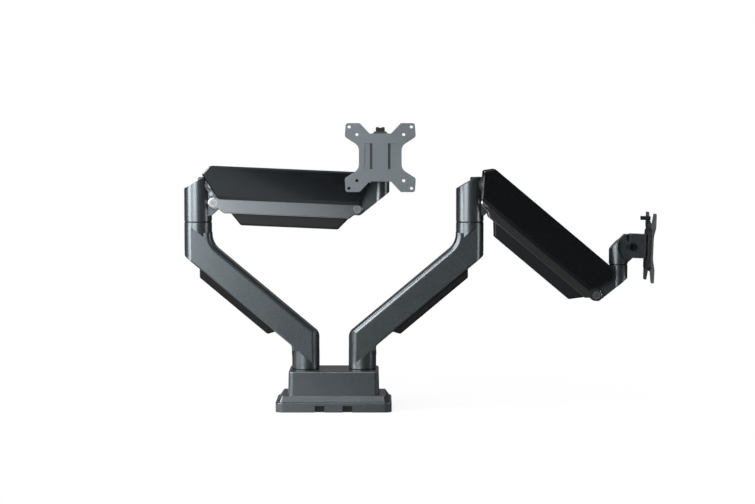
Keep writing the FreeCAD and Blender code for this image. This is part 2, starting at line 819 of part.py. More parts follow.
def shroud(name, place):
    """The glossy outer cover of the sprung arm: two flanks and a top, open below and behind."""
    body = new_body(name + "_upper_arm_cover")
    tip = "link_length"
    wall = "shroud_wall"
    pad(body, "XZ_Plane", [[
        ("-4", "shroud_top", "4"),
        ("-16", "16", "3"),
        ("14.7", "-shroud_bottom", "3"),
        (f"{tip} + 6", "-shroud_bottom", "4"),
        (f"{tip} + 10.8", "-16.4", "4"),
        (f"{tip} + 19.6", "4", "4"),
        (f"{tip} + 24", "12.6", "4"),
        (f"{tip} + 19", "25", "5"),
        (f"{tip} + 9", "shroud_top", "6"),
    ]], "2 * shroud_half", both=True)
    round_edges(body, "shroud_edge", on_flank(size("shroud_half")), "Chamfer")
    # the flanks lean in along their lowest part
    bands = [[(f"{side} * (shroud_half + 1)", "band_height - shroud_bottom"),
              (f"{side} * shroud_half", "band_height - shroud_bottom"),
              (f"{side} * (shroud_half - band_lean)", "-shroud_bottom"),
              (f"{side} * (shroud_half - band_lean)", "-shroud_bottom - 1"),
              (f"{side} * (shroud_half + 1)", "-shroud_bottom - 1")] for side in (-1, 1)]
    pocket(body, "YZ_Plane", bands, f"{tip} + 100", "-50", flip=True)
    pocket(body, "XZ_Plane", [[
        ("-40", "-shroud_bottom - 10"),
        (f"{tip} + 40", "-shroud_bottom - 10"),
        (f"{tip} + 40", f"shroud_top - {wall}"),
        ("-40", f"shroud_top - {wall}"),
    ]], f"2 * (shroud_half - {wall})", both=True)
    # the mouth where the bracket's post comes up at the lowest setting
    pocket(body, "XY_Plane", [("box", f"{tip} - 6", f"{tip} + 40", "-17.5", "17.5")], "10",
           "shroud_top - 5", flip=True)
    # the ribs that seat on the channel's two sides
    channel = "(ear_half + side_gap + link_wall)"
    ribs = [("box", f"{along} - 5", f"{along} + 5", "12", "19") for along in ("60", f"{tip} - 60")]
    depth = f"shroud_half - {wall} / 2 - {channel}"
    pad(body, "XZ_Plane", ribs, depth, channel)
    pad(body, "XZ_Plane", ribs, depth, f"-{channel}", flip=True)
    return keep(body, place)


def on_flank(half):
    """Picks the edges of the two flat flanks of a piece that is 2 * half wide."""
    def chosen(edge):
        box = edge.BoundBox
        return box.YLength < 0.01 and near(abs(box.YMin), half)
    return chosen


RAIL_INSIDE = "(ear_half + side_gap + link_wall + side_gap)"
RAIL_HALF = "(ear_half + side_gap + link_wall + side_gap + rail_wall)"


def rail(name, place):
    """The lower channel, open above, with a boss inside each end for its bolt."""
    body = new_body(name + "_lower_link")
    reach = "link_length"
    pad(body, "XZ_Plane", [[
        ("-boss_radius", "-boss_radius", "boss_radius - 0.1"),
        ("9", "-boss_radius", "6"),
        ("17", "-rail_sole", "5"),
        (f"{reach} - 12", "-rail_sole", "5"),
        (f"{reach} - 5", "-boss_radius", "6"),
        (f"{reach} + boss_radius", "-boss_radius", "boss_radius - 0.1"),
        (f"{reach} + boss_radius", "boss_radius", "boss_radius - 0.1"),
        ("-boss_radius", "boss_radius", "boss_radius - 0.1"),
    ]], f"2 * {RAIL_HALF}", both=True)
    sole = -size("rail_sole")
    round_edges(body, "rail_round", lambda edge: edge.BoundBox.XLength > 60
                and level_at(sole)(edge) and near(abs(edge.BoundBox.Center.y), size(RAIL_HALF)))
    pocket(body, "XZ_Plane", [[
        ("-30", "rail_top + 20"),
        ("-30", "-30"),
        ("12", "-30"),
        ("20", "rail_wall - rail_sole - 0.5"),
        (f"{reach} - 15", "rail_wall - rail_sole - 0.5"),
        (f"{reach} - 7", "-30"),
        (f"{reach} + 30", "-30"),
        (f"{reach} + 30", "rail_top + 20"),
    ]], f"2 * {RAIL_INSIDE}", both=True)
    inner_boss = "(ear_half + boss_gap)"
    bosses = [("circle", "0", "0", "boss_radius - 0.6"), ("circle", reach, "0", "boss_radius - 0.6")]
    for turn in (True, False):
        start = f"-{RAIL_HALF} + 1" if turn else f"{inner_boss}"
        pad(body, "XZ_Plane", bosses, f"{RAIL_HALF} - 1 - {inner_boss}", start)
    pocket(body, "XZ_Plane", [("circle", "0", "0", "bolt_radius"),
                              ("circle", reach, "0", "bolt_radius")],
           f"2 * {RAIL_HALF} + 2", both=True)
    heads = [("circle", "0", "0", "bolt_head_radius"), ("circle", reach, "0", "bolt_head_radius")]
    pocket(body, "XZ_Plane", heads, "3", f"{RAIL_HALF} - 2", flip=True)
    pocket(body, "XZ_Plane", heads, "3", f"2 - {RAIL_HALF}")
    return keep(body, place)


def rail_fittings(name, place):
    cover = new_body(name + "_link_cable_cover")
    floor = "-rail_sole"
    pad(cover, "XZ_Plane", [[
        ("rail_cover_start", floor),
        ("rail_cover_start + 16.3", f"{floor} - rail_cover_drop", "5"),
        ("rail_cover_end - 16.7", f"{floor} - rail_cover_drop", "5"),
        ("rail_cover_end", floor),
    ]], "2 * rail_cover_half", both=True)
    low = size(f"{floor} - rail_cover_drop")
    round_edges(cover, "3", lambda edge: edge.BoundBox.YLength < 0.01
                and near(edge.BoundBox.ZMax, low) and edge.BoundBox.XLength > 60)
    pocket(cover, "XZ_Plane", [[
        ("rail_cover_start + 4", floor),
        ("rail_cover_start + 18", f"{floor} - rail_cover_drop + shell_wall"),
        ("rail_cover_end - 18", f"{floor} - rail_cover_drop + shell_wall"),
        ("rail_cover_end - 4", floor),
    ]], "2 * (rail_cover_half - shell_wall)", both=True)
    keep(cover, place)

    bolts = []
    washers = []
    head = f"({RAIL_HALF} - 2)"
    for index, along in enumerate(("0", "link_length")):
        shank = "2 * " + head if index == 0 else "4"
        for side, turn in ((-1, ALONG_FRONT), (1, ALONG_Y)):
            if index == 0 and side == 1:
                continue
            label = f"{name}_link_bolt_{index}_{side + 1}"
            bolts.append(socket_screw(label, "bolt_head_radius - 0.1", "2", "bolt_radius",
                                      shank, at(along, f"{side} * {head}", 0, turn)))
        if index == 0:
            bolts.append(cylinder(f"{name}_link_bolt_nut", "bolt_head_radius - 0.1", "2",
                                  at(along, head, 0, ALONG_Y)))
        else:
            bolts.append(cylinder(f"{name}_link_bolt_bar", "bolt_radius", f"2 * {head} - 8",
                                  at(along, f"4 - {head}", 0, ALONG_Y)))
        for side in (-1, 1):
            start = "ear_half + face_gap" if side > 0 else "-ear_half - boss_gap"
            label = f"{name}_link_washer_{index}_{side + 1}"
            washers.append(ring(label, "boss_radius - 1", "bolt_radius + 0.6",
                                "boss_gap - face_gap", at(along, start, 0, ALONG_Y)))
    keep(group(name + "_lower_link_bolts", bolts + washers), place)


def anchor_in_link(lift):
    """Where the knuckle's anchor pin stands in the upper link's frame at a lift in degrees."""
    turn = math.radians(lift)
    offset_x = size(f"anchor_x - {UPPER_X}")
    offset_z = size(f"anchor_z - {UPPER_Z}")
    return Vector(offset_x * math.cos(turn) + offset_z * math.sin(turn), 0,
                  offset_z * math.cos(turn) - offset_x * math.sin(turn))


def spring_line():
    """The gas spring's front pin in the upper link, and its mean angle to the link."""
    front = Vector(size("link_length - spring_front"), 0, 2)
    rear = Vector(size(f"anchor_x - {UPPER_X}"), 0, size(f"(anchor_z - {UPPER_Z}) * 0.9"))
    return front, math.degrees(math.atan2(front.z - rear.z, front.x - rear.x))


def gas_spring(name, place, lift):
    """The cylinder hangs on the link's front pin; the rod's eye sits on the knuckle's pin."""
    front, angle = spring_line()
    spring_place = place.multiply(Placement(front, Rotation(Vector(0, 1, 0), -angle)))
    body = cylinder(name + "_spring_tube", "spring_radius", "spring_length",
                    at("-11", 0, 0, ALONG_BACK_X))
    neck = cylinder(name + "_spring_neck", "rod_radius + 1", "9", at("-3", 0, 0, ALONG_BACK_X))
    eye = cylinder(name + "_spring_end", "7", "9", at(0, "-4.5", 0, ALONG_Y))
    blank = fused(name + "_spring_blank", [body, neck, eye])
    pin_hole = cylinder(name + "_spring_pin_hole", "anchor_pin_radius + run_gap", "20",
                        at(0, -10, 0, ALONG_Y))
    # the bore that the rod and its piston run in
    bore = cylinder(name + "_spring_bore", "spring_radius - 1.2", "spring_length - 9",
                    at("-15", 0, 0, ALONG_BACK_X))
    seal = cylinder(name + "_spring_seal_hole", "rod_radius + run_gap", "12",
                    at("-spring_length - 6", 0, 0, ALONG_BACK_X))
    hollow = fused(name + "_spring_hollow", [pin_hole, bore, seal])
    tube = cut(name + "_gas_spring_cylinder_part", blank, hollow)
    keep(group(name + "_gas_spring_cylinder", [tube]), spring_place)

    # at this lift the eye is centred on the knuckle's pin along the spring
    anchor = anchor_in_link(lift)
    line = math.radians(angle)
    reach = (front.x - anchor.x) * math.cos(line) + (front.z - anchor.z) * math.sin(line)
    eye_ring = cylinder(name + "_rod_eye", "eye_radius", "9", at(-reach, "-4.5", 0, ALONG_Y))
    eye_hole = cylinder(name + "_rod_eye_hole", "anchor_pin_radius + eye_play", "12",
                        at(-reach, -6, 0, ALONG_Y))
    start = reach - size("eye_radius") + 1
    inside = size("spring_length") - 22
    rod = cylinder(name + "_rod_bar", "rod_radius", start - inside, at(-start, 0, 0, ALONG_X))
    piston = cylinder(name + "_rod_piston", "spring_radius - 1.5", "6",
                      at(-inside, 0, 0, ALONG_X))
    item = cut(name + "_rod_part", fused(name + "_rod_blank", [eye_ring, rod, piston]), eye_hole)
    keep(group(name + "_gas_spring_rod", [item]), spring_place)


def spring_anchor(name, place):
    """The pin across the knuckle's fork that the gas spring pushes on."""
    pin = cylinder(name + "_anchor_bar", "anchor_pin_radius", "2 * ear_half - 1",
                   at("anchor_x", "0.5 - ear_half", "anchor_z", ALONG_Y))
    return keep(group(name + "_spring_anchor_pin", [pin]), place)


# ---------------------------------------------------------------- front bracket and head

def front_bracket(name, place):
    """Carries the head upright; its origin is the lower link's front bolt."""
    body = new_body(name + "_front_bracket")
    low = "({0} - 6.5) * tan(bracket_slope) - 8.6"
    left = "bracket_reach - bracket_radius"
    right = "bracket_reach + bracket_radius"
    pad(body, "XY_Plane", [("circle", "bracket_reach", "0", "bracket_radius")],
        "bracket_top + 2", "-2")
    pocket(body, "XZ_Plane", [[
        (f"{left} - 2", low.format(f"{left} - 2")),
        (f"{right} + 2", low.format(f"{right} + 2")),
        (f"{right} + 2", "-40"),
        (f"{left} - 2", "-40"),
    ]], "4 * bracket_radius", both=True)
    pad(body, "XZ_Plane", [[
        ("-boss_radius", "-boss_radius", "boss_radius - 0.1"),
        ("4.5", low.format("4.5"), "6"),
        ("bracket_reach", low.format("bracket_reach")),
        ("bracket_reach", "bracket_top - 1"),
        (f"{left} - 1", "bracket_top - 1"),
        (f"{left} - 1", "pivot_rise + 12", "2"),
        ("pivot_shift - 9.5", "pivot_rise + 10", "9"),
        ("pivot_shift - 9.5", "pivot_rise - 9", "6"),
    ]], "2 * ear_half", both=True)
    pocket(body, "XZ_Plane", [
        ("circle", "0", "0", "bolt_radius + 2 * run_gap"),
        ("circle", "pivot_shift", "pivot_rise", "pivot_pin_radius + run_gap"),
    ], "4 * ear_half", both=True)
    pocket(body, "XY_Plane", [("circle", "bracket_reach", "0", "wrist_spindle_radius")],
           "wrist_seat", "bracket_top - wrist_seat", flip=True)
    return keep(body, place)


def swivel_head(name, place):
    """Turns on the bracket and carries the tilt joint; its origin is on the wrist joint."""
    body = new_body(name + "_swivel_head")
    washer = "washer_thickness + face_gap"
    pad(body, "XY_Plane", [("circle", "0", "0", "head_radius")], f"head_top - {washer}", washer)
    pocket(body, "XZ_Plane", [[
        ("-head_radius - 1", "head_back - 1"),
        ("9.2", "head_top"),
        ("9.2", "head_top + 5"),
        ("-head_radius - 1", "head_top + 5"),
    ]], "4 * head_radius", both=True)
    for start, flip in (("head_ear_half", True), ("-head_ear_half", False)):
        pocket(body, "XZ_Plane", [("circle", "tilt_x", "tilt_z", "23.5")], "30", start, flip=flip)
    pad(body, "XZ_Plane", [[
        ("-2", "6"),
        ("14.5", "4.2"),
        ("tilt_x + 1.5", "tilt_z - 19", "3"),
        ("tilt_x + 9", "tilt_z - 10", "7.5"),
        ("tilt_x + 9", "tilt_z + 9.5", "8.5"),
        ("tilt_x - 8", "tilt_z + 9.5", "4"),
        ("9.2", "head_top - 4"),
        ("2", "head_top - 11"),
    ]], "2 * head_ear_half", both=True)
    pocket(body, "XZ_Plane", [("circle", "tilt_x", "tilt_z", "tilt_bolt_radius + run_gap")],
           "60", both=True)
    bush = "wrist_spindle_radius + run_gap + wrist_bush_wall"
    pocket(body, "XY_Plane", [("circle", "0", "0", bush)],
           f"wrist_spindle_length + 3 - {washer}", washer, flip=True)
    return keep(body, place)


def tilt_bracket(name, place):
    """The fork in front of the head; its origin is the tilt bolt's axis."""
    body = new_body(name + "_tilt_bracket")
    cheek = "(head_ear_half + washer_thickness + face_gap)"
    pad(body, "XZ_Plane", [[
        ("-5.4", "-12", "5"),
        ("2", "-clevis_low", "4"),
        ("clevis_front", "-clevis_low"),
        ("clevis_front", "clevis_high"),
        ("-5.4", "clevis_high", "5"),
    ]], "2 * clevis_half", both=True)
    pocket(body, "XZ_Plane", [[
        ("-20", "-clevis_low - 9"), ("clevis_web", "-clevis_low - 9"),
        ("clevis_web", "clevis_high + 9"), ("-20", "clevis_high + 9"),
    ]], f"2 * {cheek}", both=True)
    pocket(body, "XZ_Plane", [("circle", "0", "0", "tilt_bolt_radius")], "60", both=True)
    pocket(body, "YZ_Plane", [("circle", "0", "0", "turn_bolt_radius + run_gap")], "20",
           "clevis_web - 5", flip=True)
    return keep(body, place)


def tilt_fittings(name, place):
    bolt = socket_screw(name + "_tilt_bolt_front", "tilt_head_radius", "tilt_head_height",
                        "tilt_bolt_radius", "2 * clevis_half",
                        at(0, "-clevis_half", 0, ALONG_FRONT))
    nut = ring(name + "_tilt_nut", "tilt_head_radius", "tilt_bolt_radius - 0.2",
               "tilt_head_height", at(0, "clevis_half", 0, ALONG_Y))
    keep(group(name + "_tilt_bolt", [bolt, nut]), place)
    washers = []
    for side in (-1, 1):
        start = "head_ear_half + face_gap" if side > 0 else "-head_ear_half - washer_thickness" \
            " - face_gap"
        washers.append(ring(f"{name}_tilt_washer_{side + 1}", "9", "tilt_bolt_radius + 0.2",
                            "washer_thickness", at(0, start, 0, ALONG_Y)))
    keep(group(name + "_tilt_washers", washers), place)


def screen_parts(name, place):
    """What turns with the screen; the X axis is the screen's own turning axis."""
    adapter = new_body(name + "_adapter_plate")
    pad(adapter, "YZ_Plane", [[
        ("-30", "-36", "6"), ("30", "-36", "6"), ("30", "26", "6"), ("15", "31", "4"),
        ("13.5", "38.5"), ("9", "43", "1.5"), ("-9", "43", "1.5"), ("-13.5", "38.5"),
        ("-15", "31", "4"), ("-30", "26", "6"),
    ]], "adapter_front - adapter_back", "adapter_back")
    pad(adapter, "YZ_Plane", [("circle", "0", "0", "13")],
        "adapter_back - clevis_front - face_gap", "clevis_front + face_gap")
    pocket(adapter, "YZ_Plane", [("circle", "0", "0", "turn_bolt_radius")], "20",
           "clevis_front - 2", flip=True)
    pocket(adapter, "YZ_Plane", [("box", "-4", "4", "33", "50")],
           "adapter_front - adapter_back - 0.8", "adapter_back - 1", flip=True)
    keep(adapter, place)

    shank = cylinder(name + "_turn_bolt_shank", "turn_bolt_radius",
                     "adapter_front - 0.3 - clevis_web", at("clevis_web", 0, 0, ALONG_X))
    nut = cylinder(name + "_turn_bolt_nut", "6.8", "1.5",
                   at("clevis_web - face_gap", 0, 0, ALONG_BACK_X))
    bolt = fused(name + "_turn_bolt_part", [shank, nut])
    keep(group(name + "_turn_bolt", [bolt]), place)

    plate = new_body(name + "_screen_plate")
    back = "screen_face - screen_sheet"
    wide = "screen_half_width"
    tall = "screen_half_height"
    quarter = [("17.3", "39", "3"), ("33", tall, "4"), ("55.5", tall, "4"), (wide, "34", "5"),
               ("34.3", "19", "14")]
    outline = [(x, y, r) for x, y, r in quarter]
    outline += [(x, f"-({y})", r) for x, y, r in reversed(quarter)]
    outline += [(f"-({x})", f"-({y})", r) for x, y, r in quarter]
    outline += [(f"-({x})", y, r) for x, y, r in reversed(quarter)]
    holes = [("circle", f"{x} * {pitch} / 2", f"{y} * {pitch} / 2", "screen_hole_radius")
             for pitch in ("screen_pitch_small", "screen_pitch_large")
             for x in (-1, 1) for y in (-1, 1)]
    slits = [louvre(side, "slit_inside", "slit_outside") for side in (-1, 1)]
    pad(plate, "YZ_Plane", [outline] + holes + slits, "screen_sheet", back)
    # the pressed channel beside each slit
    channels = [louvre(side, "slit_outside - 1", "channel_outside") for side in (-1, 1)]
    pocket(plate, "YZ_Plane", channels, "channel_depth + 1", "screen_face - channel_depth",
           flip=True)
    keep(plate, place)

    latch = new_body(name + "_release_latch")
    pad(latch, "YZ_Plane", [[
        ("-7.3", "44", "1"), ("7.3", "44", "1"), ("7.3", "50", "2"), ("3", "50.3", "1"),
        ("2", "49", "1"), ("-2", "49", "1"), ("-3", "50.3", "1"), ("-7.3", "50", "2"),
    ]], "15", "adapter_front - 15")
    pad(latch, "YZ_Plane", [("box", "-3.7", "3.7", "34.5", "45")],
        "adapter_front - adapter_back - 2.3", "adapter_back + 0.2")
    keep(latch, place)


def louvre(side, inside, outside):
    """An upright opening on one side of the plate's middle."""
    near_edge, far_edge = (inside, outside) if side > 0 else (f"-{outside}", f"-({inside})")
    return ("box", near_edge, far_edge, "-slit_low", "slit_high")


# ---------------------------------------------------------------- the whole

def build_arm(name, arm):
    side = arm["side"]
    base = Placement(Vector(side * size("post_spacing") / 2, 0, size("base_top")),
                     Rotation(Vector(0, 0, 1), arm["base_yaw"]))
    lower_arm(name, base)
    lower_cover(name, base)
    friction_screw(name, base)
    bush_sizes = ("spindle_radius", "spindle_length + 2", "bush_wall", "post_radius - 1")
    flanged_bush(name + "_base_bush", base, *bush_sizes)
    top = base.multiply(at("lower_reach", 0, "lower_height"))
    spindle = cylinder(name + "_elbow_bar", "spindle_radius", "elbow_seat + spindle_length",
                       at(z="-elbow_seat"))
    keep(group(name + "_elbow_spindle", [spindle]), top)

    elbow = Placement(top.Base, Rotation(Vector(0, 0, 1), arm["elbow_yaw"]))
    knuckle(name, elbow)
    flanged_bush(name + "_elbow_bush", elbow, *bush_sizes)
    spring_anchor(name, elbow)

    lift = Rotation(Vector(0, 1, 0), -arm["lift"])
    upper = elbow.multiply(Placement(at(UPPER_X, 0, UPPER_Z).Base, lift))
    upper_link(name, upper)
    upper_pins(name, upper)
    shroud(name, upper)
    gas_spring(name, upper, arm["lift"])

    lower = elbow.multiply(Placement(at("lower_pivot_x", 0, "lower_pivot_z").Base, lift))
    rail(name, lower)
    rail_fittings(name, lower)

    front = lower.multiply(at("link_length"))
    bracket = Placement(front.Base, elbow.Rotation)
    front_bracket(name, bracket)
    joint = bracket.multiply(at("bracket_reach", 0, "bracket_top"))
    spindle = cylinder(name + "_wrist_bar", "wrist_spindle_radius", "wrist_seat + wrist_spindle_length",
                       at(z="-wrist_seat"))
    keep(group(name + "_wrist_spindle", [spindle]), joint)

    wrist = Placement(joint.Base, Rotation(Vector(0, 0, 1), arm["wrist_yaw"]))
    swivel_head(name, wrist)
    flanged_bush(name + "_wrist_bush", wrist, "wrist_spindle_radius", "wrist_spindle_length + 1",
                 "wrist_bush_wall", "bracket_radius - 1")
    tilt = wrist.multiply(Placement(at("tilt_x", 0, "tilt_z").Base,
                                    Rotation(Vector(0, 1, 0), -arm["tilt"])))
    tilt_bracket(name, tilt)
    tilt_fittings(name, tilt)
    screen_parts(name, tilt)


base_casting()
base_fittings()
for arm_name, arm_pose in ARMS.items():
    build_arm(arm_name, arm_pose)
doc.recompute()

for item in doc.Objects:
    if "Invalid" in item.State or "Error" in item.State:
        raise RuntimeError(f"{item.Label} failed: {item.State}")
for piece in EXPORTED:
    if piece.Shape.isNull() or not piece.Shape.isValid():
        raise RuntimeError(f"{piece.Label} has no valid shape")

os.makedirs("parts", exist_ok=True)
for piece in EXPORTED:
    piece.Shape.exportStep(f"parts/{piece.Label}.step")
print(len(EXPORTED), "sub-parts")
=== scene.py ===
import json
import math

import bpy
from mathutils import Matrix, Vector

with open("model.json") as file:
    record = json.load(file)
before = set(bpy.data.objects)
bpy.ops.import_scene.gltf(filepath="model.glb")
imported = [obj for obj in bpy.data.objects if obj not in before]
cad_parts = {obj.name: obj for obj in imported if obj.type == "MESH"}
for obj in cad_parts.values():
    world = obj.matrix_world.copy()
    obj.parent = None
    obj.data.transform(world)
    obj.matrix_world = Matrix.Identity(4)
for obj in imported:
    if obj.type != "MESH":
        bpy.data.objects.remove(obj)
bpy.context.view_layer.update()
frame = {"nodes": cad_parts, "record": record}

MM = 0.001
PAINTED_SOCKET_SHADE_MM = 2.5       # how far the painted shade in a screw's socket reaches up its walls
COAT_ROUGHNESS = 0.22       # clear lacquer as it leaves the spray gun
DIFFUSE_FILL = 0.3          # light of the room on matt surfaces
DARK_STUDIO = 0.03          # what mirror-like surfaces see beside the lamps
WHITE_BEHIND = 0.3          # what they see in the room behind the object
FLOOR_HALF = 6.0            # metres from the middle of the floor to its edge
SENSOR_WIDTH = 36.0
LENS = 93.4


# ---------------------------------------------------------------- colour and node helpers

def linear(hex_colour):
    """An sRGB hex colour as the linear RGBA that a shader takes."""
    channels = [int(hex_colour[i:i + 2], 16) / 255 for i in (1, 3, 5)]
    return [c / 12.92 if c <= 0.04045 else ((c + 0.055) / 1.055) ** 2.4 for c in channels] + [1.0]


def add_node(material, kind, settings=None, **inputs):
    """Adds a node; settings are its properties, inputs its sockets: a value, or a socket to link."""
    tree = material.node_tree
    node = tree.nodes.new(kind)
    for name, value in (settings or {}).items():
        setattr(node, name, value)
    for name, value in inputs.items():
        socket = node.inputs[int(name[1:])] if name[0] == "i" and name[1:].isdigit() \
            else node.inputs[name.replace("_", " ")]
        if isinstance(value, bpy.types.NodeSocket):
            tree.links.new(value, socket)
        else:
            socket.default_value = value
    return node


def new_material(name):
    """An empty material and its output node."""
    material = bpy.data.materials.new(name)
    material.use_nodes = True
    material.node_tree.nodes.clear()
    output = add_node(material, "ShaderNodeOutputMaterial")
    return material, output


def surface(material, output, shader):
    material.node_tree.links.new(shader.outputs[0], output.inputs["Surface"])
    return material


def millimetres(material):
    """Object coordinates, which are metres in the row's own frame."""
    return add_node(material, "ShaderNodeTexCoord").outputs["Object"]


def grain(material, size_mm, detail=2.0, stretch=None):
    """A noise whose blotches are about size_mm across; stretch pulls it out along an axis."""
    place = millimetres(material)
    if stretch:
        place = add_node(material, "ShaderNodeMapping", Vector=place, Scale=stretch).outputs[0]
    noise = add_node(material, "ShaderNodeTexNoise", Vector=place, Scale=1 / (size_mm * MM),
                     Detail=detail, Roughness=0.55)
    return noise.outputs["Fac"]


def ramp(material, factor, low, high, start=0.3, end=0.7):
    """Turns a 0 to 1 pattern into values between low and high."""
    return add_node(material, "ShaderNodeMapRange", Value=factor, From_Min=start, From_Max=end,
                    To_Min=low, To_Max=high).outputs["Result"]


def blend_colours(material, factor, first, second):
    """Mixes two sRGB hex colours by a pattern."""
    node = add_node(material, "ShaderNodeMix", {"data_type": "RGBA"})
    material.node_tree.links.new(factor, node.inputs[0])
    node.inputs[6].default_value = linear(first)
    node.inputs[7].default_value = linear(second)
    return node.outputs[2]


def bump(material, height, depth_mm, strength=1.0):
    return add_node(material, "ShaderNodeBump", Height=height, Distance=depth_mm * MM,
                    Strength=strength).outputs["Normal"]


# ---------------------------------------------------------------- materials

def metallic_paint(name, colour, flake_colour, metallic, roughness, coat):
    """Satin metallic lacquer sprayed on die-cast aluminium: aluminium flakes in a tinted
    binder, under the faint orange peel that spraying leaves."""
    material, output = new_material(name)
    flakes = grain(material, 0.7, 3.0)          # real flakes are 0.02 mm, too fine to show
    cloud = grain(material, 60.0, 1.0)
    peel = grain(material, 1.6, 1.0)
    shade = add_node(material, "ShaderNodeMath", {"operation": "MULTIPLY_ADD"},
                     i0=cloud, i1=0.4, i2=flakes).outputs[0]
    colour_mix = blend_colours(material, ramp(material, shade, 0, 1, 0.45, 0.95), colour,
                               flake_colour)
    shader = add_node(material, "ShaderNodeBsdfPrincipled", Base_Color=colour_mix,
                      Metallic=metallic, Normal=bump(material, peel, 0.004),
                      Roughness=ramp(material, flakes, roughness - 0.04, roughness + 0.05),
                      Coat_Weight=coat, Coat_Roughness=COAT_ROUGHNESS)
    return surface(material, output, shader)


def piano_black(name):
    """ABS moulded against a polished steel tool: a deep black with a mirror-like skin and
    only the slow waviness of moulded plastic."""
    material, output = new_material(name)
    wave = grain(material, 45.0, 1.0)
    wipe = grain(material, 9.0, 2.0, stretch=(0.25, 1.0, 1.0))
    shader = add_node(material, "ShaderNodeBsdfPrincipled", Base_Color=linear("#07090b"),
                      Roughness=ramp(material, wipe, 0.09, 0.14), IOR=1.53,
                      Normal=bump(material, wave, 0.05), Coat_Weight=0.3, Coat_Roughness=0.04)
    return surface(material, output, shader)


def moulded_black(name, colour="#0e1113", roughness=0.42, texture_mm=0.9, sheen=0.2):
    """Black ABS moulded in a spark-eroded tool: an even, fine leathery grain that breaks up
    the highlight."""
    material, output = new_material(name)
    pits = grain(material, texture_mm, 2.0)     # real grain is about 0.1 mm, drawn coarser
    shader = add_node(material, "ShaderNodeBsdfPrincipled", Base_Color=linear(colour),
                      Roughness=ramp(material, pits, roughness - 0.05, roughness + 0.06),
                      IOR=1.53, Specular_IOR_Level=sheen, Normal=bump(material, pits, 0.03))
    return surface(material, output, shader)


def plated_steel(name, colour, roughness, metallic=1.0):
    """Turned or pressed steel with an electroplated skin: fine tool marks under a thin,
    slightly uneven metal layer. Where a socket is sunk into the head, ambient occlusion darkens the
    colour as painted shade."""
    material, output = new_material(name)
    marks = grain(material, 0.5, 2.0, stretch=(1.0, 8.0, 1.0))
    # painted shade: ambient occlusion darkens the plating towards #141516 inside sockets and other
    # hollows of the part
    painted_shade_ao = add_node(material, "ShaderNodeAmbientOcclusion", {"only_local": True},
                        Distance=PAINTED_SOCKET_SHADE_MM * MM).outputs["AO"]
    plating_with_painted_shade = blend_colours(material, ramp(material, painted_shade_ao, 0, 1, 0.45, 0.8), "#141516", colour)
    shader = add_node(material, "ShaderNodeBsdfPrincipled", Base_Color=plating_with_painted_shade,
                      Metallic=metallic, Normal=bump(material, marks, 0.01),
                      Roughness=ramp(material, marks, roughness - 0.05, roughness + 0.06))
    return surface(material, output, shader)


def rubber(name):
    """Die-cut rubber sheet, matt, with a faint mottled bloom."""
    material, output = new_material(name)
    bloom = grain(material, 3.0, 3.0)
    colour = blend_colours(material, ramp(material, bloom, 0, 1), "#131313", "#1d1d1c")
    shader = add_node(material, "ShaderNodeBsdfPrincipled", Base_Color=colour, Roughness=0.82,
                      Normal=bump(material, bloom, 0.04))
    return surface(material, output, shader)


GUNMETAL = metallic_paint("gunmetal_lacquer_on_die_cast_aluminium", "#4e5457", "#5e6467",
                          0.88, 0.29, 0.15)
SLATE = metallic_paint("slate_powder_coat_on_pressed_steel", "#51575b", "#5f666a", 0.65, 0.36, 0.1)
RAIL_GREY = metallic_paint("pale_grey_lacquer_on_aluminium_channel", "#a6a7a8", "#b0b1b2",
                           1.0, 0.17, 0.0)
DARK_STEEL = metallic_paint("dark_stove_enamel_on_pressed_steel", "#2b2d30", "#34363a",
                            0.4, 0.45, 0.0)
PRIMED = metallic_paint("black_cathodic_dip_on_pressed_steel", "#0c0d0e", "#101112", 0.0, 0.5, 0.0)
GLOSS = piano_black("piano_black_moulded_abs")
BLACK = moulded_black("grained_black_moulded_abs")
DULL = moulded_black("coarse_black_polypropylene", "#060708", 0.6, 1.2, 0.15)
NYLON = moulded_black("self_coloured_black_nylon", "#101012", 0.5, 0.6)
ZINC = plated_steel("zinc_plated_turned_steel", "#96989a", 0.3, 0.95)
OXIDE = plated_steel("black_oxide_steel", "#202123", 0.4, 0.85)
CHROME = plated_steel("hard_chromed_ground_rod", "#d8d9da", 0.12)
RUBBER = rubber("die_cut_black_rubber")

FINISHES = {
    "gunmetal_casting": GUNMETAL,
    "slate_sheet": SLATE,
    "grey_rail": RAIL_GREY,
    "gloss_cover": GLOSS,
    "black_plastic": BLACK,
    "pad_rubber": RUBBER,
    "black_steel": OXIDE,
    "pressed_steel": DARK_STEEL,
    "bright_rod": CHROME,
    "bright_steel": ZINC,
}


def finish_nodes():
    """Gives every CAD node the material of its slot, or of its own kind of piece."""
    for part in frame["record"]["subparts"]:
        node = frame["nodes"][part["node"]]
        material = FINISHES[part["material_slot"]]
        if part["node"].endswith(("_bush", "_washers")):
            material = NYLON
        if part["node"].endswith("_lower_cable_cover"):
            material = DULL
        if part["node"].endswith("_adapter_plate"):
            material = PRIMED
        node.data.materials.clear()
        node.data.materials.append(material)


finish_nodes()


# ---------------------------------------------------------------- stage, camera and lights

def seen_rays(material):
    """Two masks: the rays from the camera, mirrors and glass together, and the camera's alone."""
    path = add_node(material, "ShaderNodeLightPath")
    either = add_node(material, "ShaderNodeMath", {"operation": "MAXIMUM"},
                      i0=path.outputs["Is Camera Ray"], i1=path.outputs["Is Glossy Ray"])
    every = add_node(material, "ShaderNodeMath", {"operation": "MAXIMUM"}, i0=either.outputs[0],
                     i1=path.outputs["Is Transmission Ray"])
    return every.outputs[0], path.outputs["Is Camera Ray"]


